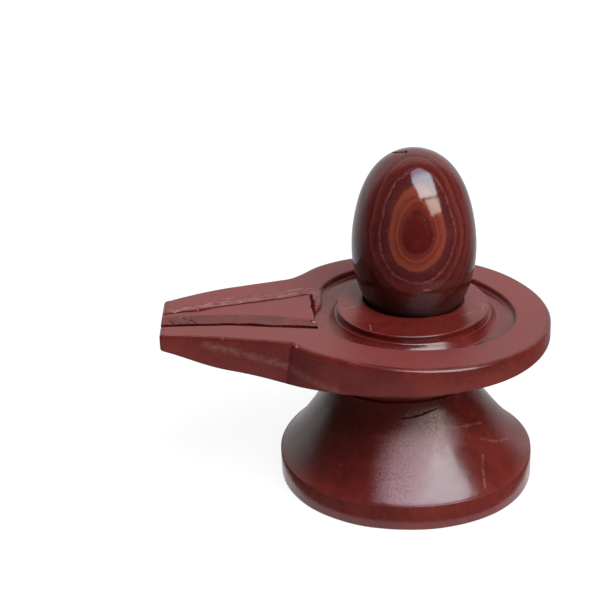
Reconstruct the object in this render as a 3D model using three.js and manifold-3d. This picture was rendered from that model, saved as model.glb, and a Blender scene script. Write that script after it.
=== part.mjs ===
// A lingam stone standing in its yoni base: an egg of banded jasper in the socket of one carved
// and polished block of red-brown stone, which has a round foot, a waist, a drain plate and a spout.
// Millimetres, +Z up. The origin is the middle of the foot, on the surface it stands on.
// The spout points along -X. The near side is -Y and the far side is +Y.

import * as THREE from 'three';
import Module from 'manifold-3d';
import { mergeVertices } from 'three/addons/utils/BufferGeometryUtils.js';

const wasm = await Module();
wasm.setup();

// ---------------------------------------------------------------- driving dimensions

// foot and waist
const footRadius = 42.45;
const footBandHeight = 8.6;
const footBevel = 0.6;
// The foot isn't quite round. A wave is [count round the ring, cosine part, sine part].
const footWaves = [[2, -0.37, 0], [3, -0.23, -0.06], [4, -0.32, 0.04]];
const footFlat = { angle: 38, spread: 24, depth: 1.9 }; // degrees: here it is ground a little flat
const waistRadius = 24.6;
const waistHeight = 35.7;
const waistOffset = new THREE.Vector2(-1.8, 0); // the waist was turned a little off the foot's centre
const coneLower = { radius: 40, height: 9.2 }; // the cone's side bends towards these two
const coneUpper = { radius: 22.4, height: 30.4 };
const waistCrease = { depth: 0.7, width: 0.9, lip: 0.5 };

// drain plate: its top face dips slightly towards +X, away from the spout
const plateCentre = new THREE.Vector2(1.6, -1.2);
const plateRadius = 45.05;
const plateTopHeight = 58.2;
const plateTopSlope = -0.05;
const plateUnderHeight = 49.5;
const plateUnderSlope = 0.7;
const plateUnderBulge = 0.92; // the underside bulges a little: 1 is a straight cone
const plateEdgeRounding = 0.5;

// spout, and how it grows out of the plate: the rim ends at an angle, and a shoulder bends to each root
const spoutTip = { x: -78, near: -23.2, far: 3.0, corner: 0.7, bow: -0.1 };
const spoutNear = { root: [-37.1, -27.8], bend: [-62, -23.2] };
const spoutFar = { root: [-40.7, 20.9], bend: [-66, 11.8] };
const nearShoulder = { rimAngle: -123, bends: [[-33.4, -33.0], [-28.6, -36.6]] };
const farShoulder = { rimAngle: 128, alongRim: 7, beforeRoot: [6.5, 1.5] };
const spoutStretch = 0.84; // how far the cone of the underside is drawn out under the spout
const spoutStretchFall = 0.0025;
const spoutSag = { x: -62.5, spread: 10.5, depth: 1.25 }; // the underside of the spout is rounder here

// drain, collar and socket: rings cut by hand, each a little out of round, in waves like the foot
const drain = { x: 1.9, y: 0.6, radius: 33.1, waves: [[2, -0.17, -0.29], [3, 0.25, -0.88]] };
const collar = { x: 2.3, y: -2.5, radius: 25.5, waves: [[2, -1.05, 1.13], [3, 0.17, -0.42]] };
const socket = { x: 2.8, y: 1.2, radius: 16.2, waves: [[2, 0.08, 0.4], [3, 0.1, -0.15]] };
const drainDepth = 1.9;
const drainWall = { lean: 0.25, foot: 0.3 };
const collarHeight = 2.9;
const collarWallHeight = 1.9;
const collarEdge = 0.4;
const socketEdge = { widening: 0.2, narrowing: 0.1, depth: 0.5 };

// across the drain's floor, each ring keeps a reach from a wall, and never more than a share of the way
const wallFillet = { reach: 0.8, share: 0.1 };
const skirtEnd = { reach: 3.6, share: 0.82, fall: 1 };
const skirtMiddle = { reach: 2.2, share: 0.6, fall: 0.55 };
const skirtLedge = { reach: 0.9, share: 0.28, fall: 0.35 };

// channel cut in the spout's top, from the drain to the tip: a deep kerf on the near side, a floor
// that rises to a crease, and a narrow broken kerf on the far side. Depths are below the top face.
const channelNear = [[-82, -17.7], [-71, -16.6], [-56, -15.6], [-42, -16.4], [-28.6, -17.5]];
const channelCrease = [[-82, -9.6], [-71, -7.9], [-56, -6.6], [-42, -7.4], [-28.6, -10.4]];
const channelFar = [[-82, -8.6], [-71, -4.8], [-56, 0.6], [-42, 5.3], [-28.6, 10.2]];
const channelStations = 16;
const channelDepth = 2.1;
const channelKerf = 0.9;
const channelFloorDepth = 0.4;
const channelFloorUneven = 0.08;
const brokenKerf = { width: 0.5, depth: 1.7, edge: 0.2, jag: 0.45 };
const cutterLift = 3;

// lingam: an egg, which keeps a small gap to its seat
const eggCentre = new THREE.Vector3(3.1, 1.3, 81.3);
const eggRadius = 19.85;
const eggHalfHeight = 29.8;
const eggShape = [-0.072, 0.096, 0.078]; // first, second and third power terms of its girth
const eggSeat = [-0.74, -0.8, -0.87, -0.94, -0.985, -1]; // levels of the seat, -1 is the egg's foot
const seatGap = 0.3;

// flakes that broke out: half sizes, place (its height is measured from the plate's top face, or
// from the egg's middle), turn in radians about X, Y and Z, and a number that sets its facets
const slabBreak = { size: [3.0, 2.4, 1.3], place: [-29.6, 11.0, 0.1], turn: [0.3, 0.2, 0.5], facets: 3 };
const kerfBreak = { size: [4.2, 1.3, 1.1], place: [-73.5, -4.6, -0.3], turn: [0.2, 0, 0.35], facets: 5 };
const shoulderBreak = { size: [1.0, 0.8, 0.9], place: [-36.2, -28.6, -0.1], turn: [0.6, 0.3, 0], facets: 7 };
const eggBreak = { size: [3.2, 1.9, 1.1], place: [-5.0, 0.9, 28.6], turn: [0.3, -0.5, 0.4], facets: 9 };
const flakeRoughness = 0.15;

// how finely the round forms are divided
const rimStep = 4.5; // degrees
const shoulderSteps = { near: 6, far: 7 };
const spoutSteps = { near: 8, tip: 5, far: 7 };
const coneSteps = 8;
const undersideSteps = [0, 0.12, 0.35, 0.65, 1];
const eggSides = 56;
const eggRings = 24;

const stoneColour = 0x6e332e;
const jasperColour = 0x5c211b;

// ---------------------------------------------------------------- helpers

const lerp = THREE.MathUtils.lerp;
const radians = THREE.MathUtils.degToRad;
const point2 = ([x, y]) => new THREE.Vector2(x, y);
const topHeight = (x) => plateTopHeight + plateTopSlope * x;

// a repeatable unevenness between -1 and 1
function uneven(seed) {
  const wave = Math.sin(seed * 127.1 + 11.7) * 43758.5453;
  return 2 * (wave - Math.floor(wave)) - 1;
}

// one closed skin over a stack of rings: every ring holds as many points, and the first and last
// ring are drawn together in their middle
function skinOver(rings) {
  const sides = rings[0].length;
  const middle = (ring) => ring.reduce((sum, p) => sum.add(p), new THREE.Vector3()).divideScalar(sides);
  const closed = [Array(sides).fill(middle(rings[0])), ...rings, Array(sides).fill(middle(rings.at(-1)))];
  const profile = closed.map((ring, level) => new THREE.Vector2(1, level));
  const geometry = new THREE.LatheGeometry(profile, sides);
  const position = geometry.getAttribute('position');
  for (let side = 0; side <= sides; side++) {
    closed.forEach((ring, level) => {
      const point = ring[side % sides];
      position.setXYZ(side * closed.length + level, point.x, point.y, point.z);
    });
  }
  return geometry;
}

// the closed solid of a geometry, with its shared corners merged and its empty faces dropped
function toSolid(geometry) {
  const bare = geometry.clone();
  bare.deleteAttribute('normal');
  bare.deleteAttribute('uv');
  const merged = mergeVertices(bare, 1e-4);
  const corners = merged.getAttribute('position').array;
  const index = merged.getIndex().array;
  const faces = [];
  for (let i = 0; i < index.length; i += 3) {
    const [a, b, c] = index.slice(i, i + 3);
    if (a !== b && b !== c && c !== a) faces.push(a, b, c);
  }
  return new wasm.Manifold(new wasm.Mesh({
    numProp: 3,
    vertProperties: Float32Array.from(corners),
    triVerts: Uint32Array.from(faces),
  }));
}

function toGeometry(solid) {
  const mesh = solid.getMesh();
  const geometry = new THREE.BufferGeometry();
  geometry.setAttribute('position', new THREE.BufferAttribute(Float32Array.from(mesh.vertProperties), 3));
  geometry.setIndex(Array.from(mesh.triVerts));
  geometry.computeVertexNormals();
  return geometry;
}

// the angular lump of stone that is lost where a flake broke out
function flake({ size, place, turn, facets }, baseHeight) {
  const geometry = new THREE.IcosahedronGeometry(1, 0);
  const position = geometry.getAttribute('position');
  for (let i = 0; i < position.count; i++) {
    const corner = new THREE.Vector3().fromBufferAttribute(position, i);
    const seed = corner.clone().multiplyScalar(10).round().dot(new THREE.Vector3(1, 3, 7));
    corner.multiplyScalar(1 + flakeRoughness * uneven(facets + seed));
    position.setXYZ(i, corner.x, corner.y, corner.z);
  }
  geometry.scale(...size);
  geometry.rotateX(turn[0]);
  geometry.rotateY(turn[1]);
  geometry.rotateZ(turn[2]);
  geometry.translate(place[0], place[1], baseHeight + place[2]);
  return toSolid(geometry);
}

// ---------------------------------------------------------------- plan of plate and spout

// the outline, counter-clockwise: the rim, the far shoulder, the spout's far edge, its tip, its
// near edge and the near shoulder
function plateOutline() {
  const nearAngle = radians(nearShoulder.rimAngle);
  const farAngle = radians(farShoulder.rimAngle);
  const onRim = (angle) => point2([Math.cos(angle), Math.sin(angle)])
    .multiplyScalar(plateRadius).add(plateCentre);
  const rimEnd = onRim(farAngle);
  const rimHeading = point2([-Math.sin(farAngle), Math.cos(farAngle)]);
  const nearRoot = point2(spoutNear.root);
  const farRoot = point2(spoutFar.root);
  const tipX = spoutTip.x + spoutTip.corner;

  const rim = new THREE.EllipseCurve(plateCentre.x, plateCentre.y, plateRadius, plateRadius,
    nearAngle, farAngle);
  const toFarRoot = new THREE.CubicBezierCurve(
    rimEnd, rimEnd.clone().addScaledVector(rimHeading, farShoulder.alongRim),
    farRoot.clone().add(point2(farShoulder.beforeRoot)), farRoot);
  const farEdge = new THREE.QuadraticBezierCurve(
    farRoot, point2(spoutFar.bend), point2([tipX, spoutTip.far]));
  const tip = new THREE.QuadraticBezierCurve(
    point2([spoutTip.x, spoutTip.far - spoutTip.corner]),
    point2([spoutTip.x + spoutTip.bow, (spoutTip.near + spoutTip.far) / 2]),
    point2([spoutTip.x, spoutTip.near + spoutTip.corner]));
  const nearEdge = new THREE.QuadraticBezierCurve(
    point2([tipX, spoutTip.near]), point2(spoutNear.bend), nearRoot);
  const toRim = new THREE.CubicBezierCurve(
    nearRoot, ...nearShoulder.bends.map(point2), onRim(nearAngle));

  const rimSteps = Math.round((farShoulder.rimAngle - nearShoulder.rimAngle) / rimStep);
  return [
    ...rim.getPoints(rimSteps).slice(0, -1),
    ...toFarRoot.getPoints(shoulderSteps.far).slice(0, -1),
    ...farEdge.getPoints(spoutSteps.far),
    ...tip.getPoints(spoutSteps.tip),
    ...nearEdge.getPoints(spoutSteps.near).slice(0, -1),
    ...toRim.getPoints(shoulderSteps.near).slice(0, -1),
  ];
}

const outline = plateOutline();
const directions = outline.map((p) => Math.atan2(p.y - plateCentre.y, p.x - plateCentre.x));

// ---------------------------------------------------------------- rings

// the plate's outline, drawn in by an inset
function outlineRing(height, inset) {
  return outline.map((p, i) => {
    const before = outline.at(i - 1);
    const after = outline[(i + 1) % outline.length];
    const outward = point2([after.y - before.y, before.x - after.x]).normalize();
    const at = p.clone().addScaledVector(outward, -inset);
    return new THREE.Vector3(at.x, at.y, height(at.x, at.y));
  });
}

function roundRing(ring, widening, height) {
  return directions.map((angle) => {
    const wave = ring.waves.reduce(
      (sum, [n, c, s]) => sum + c * Math.cos(n * angle) + s * Math.sin(n * angle), 0);
    const radius = ring.radius + wave + widening;
    const x = ring.x + radius * Math.cos(angle);
    const y = ring.y + radius * Math.sin(angle);
    return new THREE.Vector3(x, y, height(x, y));
  });
}

function turnedRing(radius, height, centre, waves = []) {
  const ring = { x: centre.x, y: centre.y, radius, waves };
  return roundRing(ring, 0, () => height);
}

// a ring of the foot and cone, with the foot's waves and the side that is ground flat
function footRing(radius, height, centre) {
  const reach = (radius / footRadius) ** 2;
  const waves = footWaves.map(([count, ...parts]) => [count, ...parts.map((part) => part * reach)]);
  return turnedRing(radius, height, centre, waves).map((point, i) => {
    const away = (THREE.MathUtils.radToDeg(directions[i]) - footFlat.angle) / footFlat.spread;
    const flat = footFlat.depth * Math.exp(-(away ** 2));
    const outward = new THREE.Vector3(Math.cos(directions[i]), Math.sin(directions[i]), 0);
    return point.addScaledVector(outward, -flat * reach);
  });
}

// a ring that stands off the inner ring by a reach, towards the outer one
function standOff(inner, outer, { reach, share }, height) {
  return inner.map((from, i) => {
    const gap = from.distanceTo(outer[i]);
    const point = from.clone().lerp(outer[i], Math.min(reach / gap, share));
    return point.setZ(height(point.x));
  });
}

// ---------------------------------------------------------------- the yoni base

function footRings() {
  const centre = point2([0, 0]);
  const cone = new THREE.CubicBezierCurve(
    point2([footRadius, footBandHeight]), point2([coneLower.radius, coneLower.height]),
    point2([coneUpper.radius, coneUpper.height]), point2([waistRadius, waistHeight]));
  const coneRings = cone.getPoints(coneSteps).map(({ x: radius, y: height }) => {
    const rise = (height - footBandHeight) / (waistHeight - footBandHeight);
    return footRing(radius, height, waistOffset.clone().multiplyScalar(rise));
  });
  return [
    footRing(footRadius - footBevel, 0, centre),
    footRing(footRadius, footBevel, centre),
    ...coneRings,
    turnedRing(waistRadius - waistCrease.depth, waistHeight + waistCrease.width / 2, waistOffset),
  ];
}

// the underside rises outwards as a cone that is drawn out under the spout
function underHeight(x, y) {
  const alongSpout = x - plateCentre.x;
  const across = y - plateCentre.y;
  const stretch = alongSpout < 0 ? spoutStretch + spoutStretchFall * alongSpout : 1;
  const reach = Math.hypot(alongSpout * stretch, across);
  const sag = spoutSag.depth * Math.exp(-(((x - spoutSag.x) / spoutSag.spread) ** 2));
  return plateUnderHeight + plateUnderSlope * (reach - plateRadius) - sag;
}

function undersideRings() {
  const start = turnedRing(waistRadius + waistCrease.lip, waistHeight + waistCrease.width, waistOffset);
  const edge = outlineRing(underHeight, plateEdgeRounding);
  return undersideSteps.map((step) => start.map((from, i) => {
    const height = lerp(from.z, edge[i].z, step ** plateUnderBulge);
    return from.clone().lerp(edge[i], step).setZ(height);
  }));
}

function plateEdgeRings() {
  const below = (x, y) => underHeight(x, y) + plateEdgeRounding;
  const above = (x) => topHeight(x) - plateEdgeRounding;
  return [outlineRing(below, 0), outlineRing(above, 0), outlineRing(topHeight, plateEdgeRounding)];
}

function drainAndCollarRings() {
  const at = (depth) => (x) => topHeight(x) - depth;
  const wallFoot = collarWallHeight - collarHeight; // a depth: below zero it is above the top face
  const skirtAt = ({ fall }) => at(lerp(wallFoot, drainDepth, fall));
  const outer = roundRing(drain, -drainWall.lean, at(drainDepth - drainWall.foot));
  const inner = roundRing(collar, 0, at(wallFoot));
  return [
    roundRing(drain, drainWall.lean, at(0)),
    outer,
    standOff(outer, inner, wallFillet, at(drainDepth)),
    standOff(inner, outer, skirtEnd, skirtAt(skirtEnd)),
    standOff(inner, outer, skirtMiddle, skirtAt(skirtMiddle)),
    standOff(inner, outer, skirtLedge, skirtAt({ fall: skirtLedge.fall / (drainDepth - wallFoot) })),
    inner,
    roundRing(collar, 0, at(collarEdge - collarHeight)),
    roundRing(collar, -collarEdge, at(-collarHeight)),
  ];
}

// the egg's radius at a level from -1, its foot, to 1, its top
function girth(level) {
  const [first, second, third] = eggShape;
  const swell = 1 + first * level + second * level ** 2 + third * level ** 3;
  return eggRadius * Math.sqrt(Math.max(0, 1 - level ** 2)) * swell;
}

// the socket opens at its hand-cut edge and then follows the egg with an even gap
function socketRings() {
  const collarTop = (x) => topHeight(x) + collarHeight;
  const bowl = eggSeat.map((level) => {
    const radius = girth(level) + seatGap;
    const height = eggCentre.z + level * eggHalfHeight - seatGap;
    return turnedRing(radius, height, eggCentre);
  });
  return [
    roundRing(socket, socketEdge.widening, collarTop),
    roundRing(socket, -socketEdge.narrowing, (x) => collarTop(x) - socketEdge.depth),
    ...bowl,
  ];
}

// the lump of stone that is cut away for the channel
function channelCutter() {
  const [nearLine, creaseLine, farLine] = [channelNear, channelCrease, channelFar]
    .map((points) => new THREE.SplineCurve(points.map(point2)));
  const creaseSeed = 40;
  const sections = [];
  for (let station = 0; station <= channelStations; station++) {
    const along = station / channelStations;
    const { x, y: near } = nearLine.getPoint(along);
    const crease = creaseLine.getPoint(along).y;
    const far = farLine.getPoint(along).y;
    const top = topHeight(x);
    const brokenEdge = far + brokenKerf.jag * uneven(station);
    const creaseDepth = channelFloorDepth + channelFloorUneven * uneven(station + creaseSeed);
    const section = [
      [near, top + cutterLift],
      [near, top - channelDepth],
      [near + channelKerf, top - channelDepth],
      [crease, top - creaseDepth],
      [lerp(far, brokenEdge, 0.3) - brokenKerf.width, top - channelFloorDepth],
      [far - 0.4 * brokenKerf.width, top - brokenKerf.depth],
      [brokenEdge, top - brokenKerf.edge],
      [brokenEdge, top + cutterLift],
    ];
    sections.push(section.map(([y, z]) => new THREE.Vector3(x, y, z)));
  }
  return toSolid(skinOver(sections));
}

function yoniBase() {
  const block = toSolid(skinOver([
    ...footRings(), ...undersideRings(), ...plateEdgeRings(), ...drainAndCollarRings(), ...socketRings(),
  ]));
  const breaks = [slabBreak, kerfBreak, shoulderBreak]
    .map((shape) => flake(shape, topHeight(shape.place[0])));
  return [channelCutter(), ...breaks].reduce((stone, lost) => stone.subtract(lost), block);
}

// ---------------------------------------------------------------- the lingam

function lingam() {
  const profile = [];
  for (let ring = 0; ring <= eggRings; ring++) {
    const level = -Math.cos((Math.PI * ring) / eggRings);
    const onAxis = ring === 0 || ring === eggRings;
    profile.push(point2([onAxis ? 0 : girth(level), level * eggHalfHeight]));
  }
  const whole = new THREE.LatheGeometry(profile, eggSides);
  whole.rotateX(Math.PI / 2);
  return toSolid(whole).subtract(flake(eggBreak, 0));
}

// ---------------------------------------------------------------- the scene graph

const stone = new THREE.MeshStandardMaterial({ color: stoneColour, roughness: 0.4, metalness: 0 });
const jasper = new THREE.MeshStandardMaterial({ color: jasperColour, roughness: 0.16, metalness: 0 });

const base = new THREE.Mesh(toGeometry(yoniBase()), stone);
base.name = 'yoni_base';

const egg = new THREE.Mesh(toGeometry(lingam()), jasper);
egg.name = 'lingam';
egg.position.copy(eggCentre);

const part = new THREE.Group();
part.add(base, egg);

export default part;
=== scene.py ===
"""A lingam stone in its yoni base: the polished looks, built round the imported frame.

Shapes are worked out in millimetres and turned into metres when a mesh is made. The spout points
along -X, and the near side is -Y.
"""

import math
import random

import bmesh
import bpy
import numpy as np
from mathutils import Matrix, Vector, noise


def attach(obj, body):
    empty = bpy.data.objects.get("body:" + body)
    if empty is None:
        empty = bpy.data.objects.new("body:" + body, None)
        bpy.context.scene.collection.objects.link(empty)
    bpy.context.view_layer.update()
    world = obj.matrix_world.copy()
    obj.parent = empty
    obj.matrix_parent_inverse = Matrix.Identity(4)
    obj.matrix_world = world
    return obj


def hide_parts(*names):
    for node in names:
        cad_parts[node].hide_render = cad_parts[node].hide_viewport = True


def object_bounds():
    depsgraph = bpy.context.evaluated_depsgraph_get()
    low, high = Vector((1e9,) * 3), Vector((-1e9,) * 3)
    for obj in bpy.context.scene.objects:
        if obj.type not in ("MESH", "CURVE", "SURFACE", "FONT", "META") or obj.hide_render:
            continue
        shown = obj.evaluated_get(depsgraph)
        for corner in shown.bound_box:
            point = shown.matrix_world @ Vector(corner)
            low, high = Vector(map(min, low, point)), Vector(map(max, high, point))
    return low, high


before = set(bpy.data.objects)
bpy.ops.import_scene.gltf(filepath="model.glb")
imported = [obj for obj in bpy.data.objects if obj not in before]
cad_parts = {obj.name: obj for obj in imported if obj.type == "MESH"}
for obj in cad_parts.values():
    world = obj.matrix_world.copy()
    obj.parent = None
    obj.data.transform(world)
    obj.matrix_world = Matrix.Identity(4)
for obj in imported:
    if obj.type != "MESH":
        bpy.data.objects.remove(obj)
cad_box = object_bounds()

MM = 0.001
CAD_LOW, CAD_HIGH = (np.array(corner) / MM for corner in cad_box)

# -------- dimensions, in millimetres

FOOT_RADIUS = 42.45
FOOT_BAND_HEIGHT = 8.6
SOLE_INSET = 6
# a wave of a ring is (count round the ring, cosine part, sine part)
FOOT_WAVES = [(2, -0.37, 0.0), (3, -0.23, -0.06), (4, -0.32, 0.04)]
FOOT_FLAT = {"angle": 38.0, "spread": 24.0, "depth": 1.9}
WAIST_RADIUS = 24.6
WAIST_HEIGHT = 35.7
WAIST_OFFSET = (-1.8, 0.0)
CONE = [(FOOT_RADIUS, FOOT_BAND_HEIGHT), (40.0, 9.2), (22.4, 30.4), (WAIST_RADIUS, WAIST_HEIGHT)]
CREASE = {"depth": 0.7, "width": 0.9, "lip": 0.5}
# the share of the cone's way up where the painted shade under the plate sets in
CONE_SHADE_FROM = 0.5

PLATE_CENTRE = (1.6, -1.2)
PLATE_RADIUS = 45.05
PLATE_TOP_HEIGHT = 58.2
PLATE_TOP_SLOPE = -0.05
PLATE_UNDER_HEIGHT = 49.5
PLATE_UNDER_SLOPE = 0.7
PLATE_UNDER_BULGE = 0.92

SPOUT_TIP = {"x": -78.0, "near": -23.2, "far": 3.0, "corner": 1.1, "bow": -0.1}
SPOUT_NEAR = {"root": (-37.1, -27.8), "bend": (-62.0, -23.2)}
SPOUT_FAR = {"root": (-40.7, 20.9), "bend": (-66.0, 11.8)}
NEAR_SHOULDER = {"rim_angle": -123.0, "bends": [(-33.4, -33.0), (-28.6, -36.6)]}
# how far the fold of the near shoulder slants towards the tip on its way down
FOLD_SLANT = (-2.1, 0.4)
FAR_SHOULDER = {"rim_angle": 128.0, "along_rim": 7.0, "before_root": (6.5, 1.5)}
SPOUT_STRETCH = 0.84
SPOUT_STRETCH_FALL = 0.0025
SPOUT_SAG = {"x": -62.5, "spread": 10.5, "depth": 1.25}

# rings cut by hand, each a little out of round and off centre
DRAIN = {"centre": (1.9, 0.6), "radius": 33.1, "waves": [(2, -0.17, -0.29), (3, 0.25, -0.88)]}
COLLAR = {"centre": (2.3, -2.5), "radius": 25.5, "waves": [(2, -1.05, 1.13), (3, 0.17, -0.42)]}
SOCKET = {"centre": (2.8, 1.2), "radius": 16.2, "waves": [(2, 0.08, 0.4), (3, 0.1, -0.15)]}
# where the drain runs inward, in front of the slab's broken end
DRAIN_LIP = {"angle": 174.0, "spread": 16.0, "reach": 3.4}
DRAIN_DEPTH = 1.9
# how much wider the drain's wall is at its top and at its foot
DRAIN_LEAN = (0.25, -0.4)
# how far a ring stands off the plate's edge or the collar's foot, and the largest share of the way to
# the drain's wall that it takes
RIM_END = (2.1, 0.6)
FLOOR_END = (3.6, 0.82)
SKIRT = (2.2, 0.6)
LEDGE = (1.5, 0.35)
SKIRT_FALL = 0.55
COLLAR_HEIGHT = 2.9
COLLAR_WALL_HEIGHT = 1.9
COLLAR_UNDERCUT = {"in": 0.7, "down": 0.35}
SOCKET_EDGE = {"widening": 0.1, "depth": 0.6}
# how far each edge is rounded
ROUNDED = {"foot": 0.7, "under": 0.8, "rim": 1.4, "drain": 0.45, "drain foot": 0.5, "floor": 1.6,
           "skirt": 1.4, "ledge": 0.3, "collar foot": 0.15, "collar": 0.8, "socket": 0.35}

# the channel along the spout: x, and y of the near kerf, of the crease and of the broken kerf
CHANNEL = [(-82, -17.7, -9.6, -8.6), (-71, -16.6, -7.9, -4.8), (-56, -15.6, -6.6, 0.6),
           (-42, -16.4, -7.4, 5.3), (-28.6, -17.5, -10.4, 10.2)]
# depths below the plate's top face
NEAR_KERF = {"width": 3.4, "depth": 3.2, "lip": 0.75, "undercut": (0.9, 0.7)}
STRIP_RIPPLE = 0.075
CHISEL_RIPPLE = {"depth": 0.3, "x": -71.5, "spread": 3.2, "pace": 2.6}
SLAB_DEPTH = 0.22
SLAB_HOLLOW = 0.05
BROKEN_KERF = {"width": 0.75, "narrowest": 0.35, "depth": 1.7, "edge": 0.1, "jag": 0.45,
               "gape": 1.1, "gape_x": -66.5, "gape_spread": 3.5, "end_x": -33.0, "end_length": 8}
CUTTER_LIFT = 3.0
# how wide the band of chips beside the broken kerf is, at places along the spout
CHIP_BAND = ((-78, -62, -48, -31), (2.0, 3.2, 5.6, 5.0))

SLAB_END = [(-30.4, 9.4), (-30.1, 6.4), (-30.1, 2.3), (-29.9, -1.9), (-29.3, -6.0), (-28.7, -9.5)]

EGG_CENTRE = (3.1, 1.3, 81.3)
EGG_RADIUS = 19.85
EGG_HALF_HEIGHT = 29.8
# how its girth changes with the level, its square and its cube
EGG_SHAPE = (-0.072, 0.096, 0.078)
EGG_SEAT = [-0.74, -0.77, -0.8, -0.835, -0.87, -0.905, -0.94, -0.965, -0.985, -0.996]
SEAT_GAP = 0.3

# the finish of a stretch of the stone: below 0 it is painted darker, as painted shade in its
# hollows and under the plate, 0 is a high polish, 1 is honed and 2 is freshly broken
SHADE_BLACK = -1.0
SHADE_DEEP = -0.8
SHADE_DARK = -0.75
SHADE_STRONG = -0.7
SHADE_SOFT = -0.45
# painted shade on the cone's top, under the plate
CONE_TOP = SHADE_SOFT - 0.1
# the rough strip by the near kerf, painted a little darker as painted shade, for it tilts to the front
STRIP = -0.42
POLISHED = 0.0
GLOSSY = 0.18
BAND = 0.3
SIDE = 0.5
HONED = 1.0
WORN = 1.4
BROKEN = 2.0

# -------- veins, cracks, rubbed places and places of painted sheen and light

FISSURE = [(-4.1, -25.3, 30.7), (-0.5, -25.3, 31.1), (2.8, -24.8, 31.6),
           (6.0, -23.8, 32.2), (8.6, -22.7, 32.6)]
CHISEL_MARKS = [(-73.9, -9.9), (-72.3, -10.1), (-70.9, -10.4), (-68.0, -11.6), (-74.6, -12.6)]
SIDE_VEIN = [(-63.8, -23.9, 58.6), (-50.0, -25.6, 55.1), (-37.7, -27.7, 51.9), (-33.1, -32.4, 51.0),
             (-25.7, -37.6, 48.8), (-19.0, -40.8, 46.8)]
# the cone's scuffed front: rougher, and painted paler, a painted sheen round the window's reflection
SCUFF_AND_SHEEN = [(-3.6, -41.2, 9.3), (-3.6, -37.6, 13.0), (-2.6, -33.4, 18.3),
         (0.0, -30.1, 22.9), (5.0, -26.6, 27.0)]
UPPER_SCUFF = [(5.0, -26.6, 27.0), (9.0, -25.4, 26.6), (12.5, -24.2, 25.6)]
CONE_VEINS = [
    [(22.6, -26.0, 16.9), (22.2, -29.8, 13.9), (22.6, -34.3, 10.0)],
    [(6.1, -25.5, 28.7), (11.8, -24.6, 26.7), (16.6, -22.4, 25.5), (23.0, -17.2, 23.8)],
    [(22.5, -21.9, 20.5), (27.5, -19.0, 17.7), (32.3, -13.1, 15.5)],
    [(-9.5, -35.7, 13.9), (-2.8, -36.4, 14.3), (2.2, -37.0, 13.8)],
]
# paler broken stone at the slab's end by the drain, partly a painted highlight on the wall's foot
BRUISED_AND_LIT = [[(-28.8, 9.0, 58.0), (-28.0, 3.0, 58.0), (-28.1, -3.0, 58.0), (-28.9, -7.0, 58.0)],
           [(-30.2, 13.4, 59.6), (-29.6, 10.8, 59.4)]]
RUBBED = [[(-21.5, -9.0, 62.1), (-20.5, 4.0, 62.1)], [(24.0, -8.0, 60.0), (22.0, 6.0, 60.2)]]
COLLAR_VEINS = [
    [(23.2, -4.0, 59.9), (26.6, -4.8, 59.8)],
    [(17.5, -12.5, 60.2), (21.6, -9.4, 60.0)],
    [(-19.7, -8.7, 62.1), (-16.4, -6.3, 61.9)],
    [(-12.4, -20.5, 61.7), (-12.3, -24.1, 61.7)],
    [(24.9, -5.2, 59.9), (24.2, -8.6, 59.9)],
]

# -------- curves and rings


def top_height(x):
    """The plate's top face, which dips a little towards +X."""
    return PLATE_TOP_HEIGHT + PLATE_TOP_SLOPE * x


def on_plate(x, y, depth):
    """A point that lies a depth below the plate's top face."""
    return (x, y, top_height(x) - depth)


def below_top(depth):
    """The height over the plan of a face at a depth below the plate's top face."""
    return lambda x, y: top_height(x) - depth


def roughness_at(*place):
    """Repeatable noise at a place, from -1 to 1."""
    return noise.noise(Vector(place))


def bezier(points, steps, keeps_end=False):
    """Points along a Bezier curve of any degree."""
    share = np.linspace(0, 1, steps + 1)[:, None]
    layers = [np.array(p, float) + 0 * share for p in points]
    while len(layers) > 1:
        layers = [a + (b - a) * share for a, b in zip(layers, layers[1:])]
    return layers[0] if keeps_end else layers[0][:-1]


def spline(points, steps):
    """Points along a Catmull-Rom spline through the given points."""
    p = np.array(points, float)
    p = np.vstack([2 * p[0] - p[1], p, 2 * p[-1] - p[-2]])
    places = np.linspace(0, len(points) - 1, steps + 1)
    first = np.minimum(places.astype(int), len(points) - 2)
    t = (places - first)[:, None]
    a, b, c, d = (p[first + k] for k in range(4))
    square, cube = 2 * a - 5 * b + 4 * c - d, 3 * b - a - 3 * c + d
    return 0.5 * (2 * b + (c - a) * t + square * t**2 + cube * t**3)


def plate_outline(slant=(0.0, 0.0)):
    """The plan of plate and spout, counter-clockwise. A slant moves the near shoulder's fold."""
    centre = np.array(PLATE_CENTRE)
    angles = np.radians([NEAR_SHOULDER["rim_angle"], FAR_SHOULDER["rim_angle"]])
    turn = np.arange(angles[0], angles[1], math.radians(1.5))[:, None]
    rim = centre + PLATE_RADIUS * np.hstack([np.cos(turn), np.sin(turn)])
    rim_start, rim_end = (centre + PLATE_RADIUS * np.array([math.cos(a), math.sin(a)]) for a in angles)
    heading = np.array([-math.sin(angles[1]), math.cos(angles[1])])
    near_root, far_root = np.add(SPOUT_NEAR["root"], slant), np.array(SPOUT_FAR["root"])
    first_bend, second_bend = NEAR_SHOULDER["bends"]
    x, near, far, corner = (SPOUT_TIP[key] for key in ("x", "near", "far", "corner"))
    far_corner = [(x + corner, far), (x, far), (x, far - corner)]
    near_corner = [(x, near + corner), (x, near), (x + corner, near)]
    tip_bow = (x + SPOUT_TIP["bow"], (near + far) / 2)
    return np.vstack([
        rim,
        bezier([rim_end, rim_end + FAR_SHOULDER["along_rim"] * heading,
                far_root + FAR_SHOULDER["before_root"], far_root], 20),
        bezier([far_root, SPOUT_FAR["bend"], far_corner[0]], 44),
        bezier(far_corner, 5),
        bezier([far_corner[2], tip_bow, near_corner[0]], 36),
        bezier(near_corner, 5),
        bezier([near_corner[2], SPOUT_NEAR["bend"], near_root], 44),
        bezier([near_root, np.add(first_bend, slant), second_bend, rim_start], 22),
    ])


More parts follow.
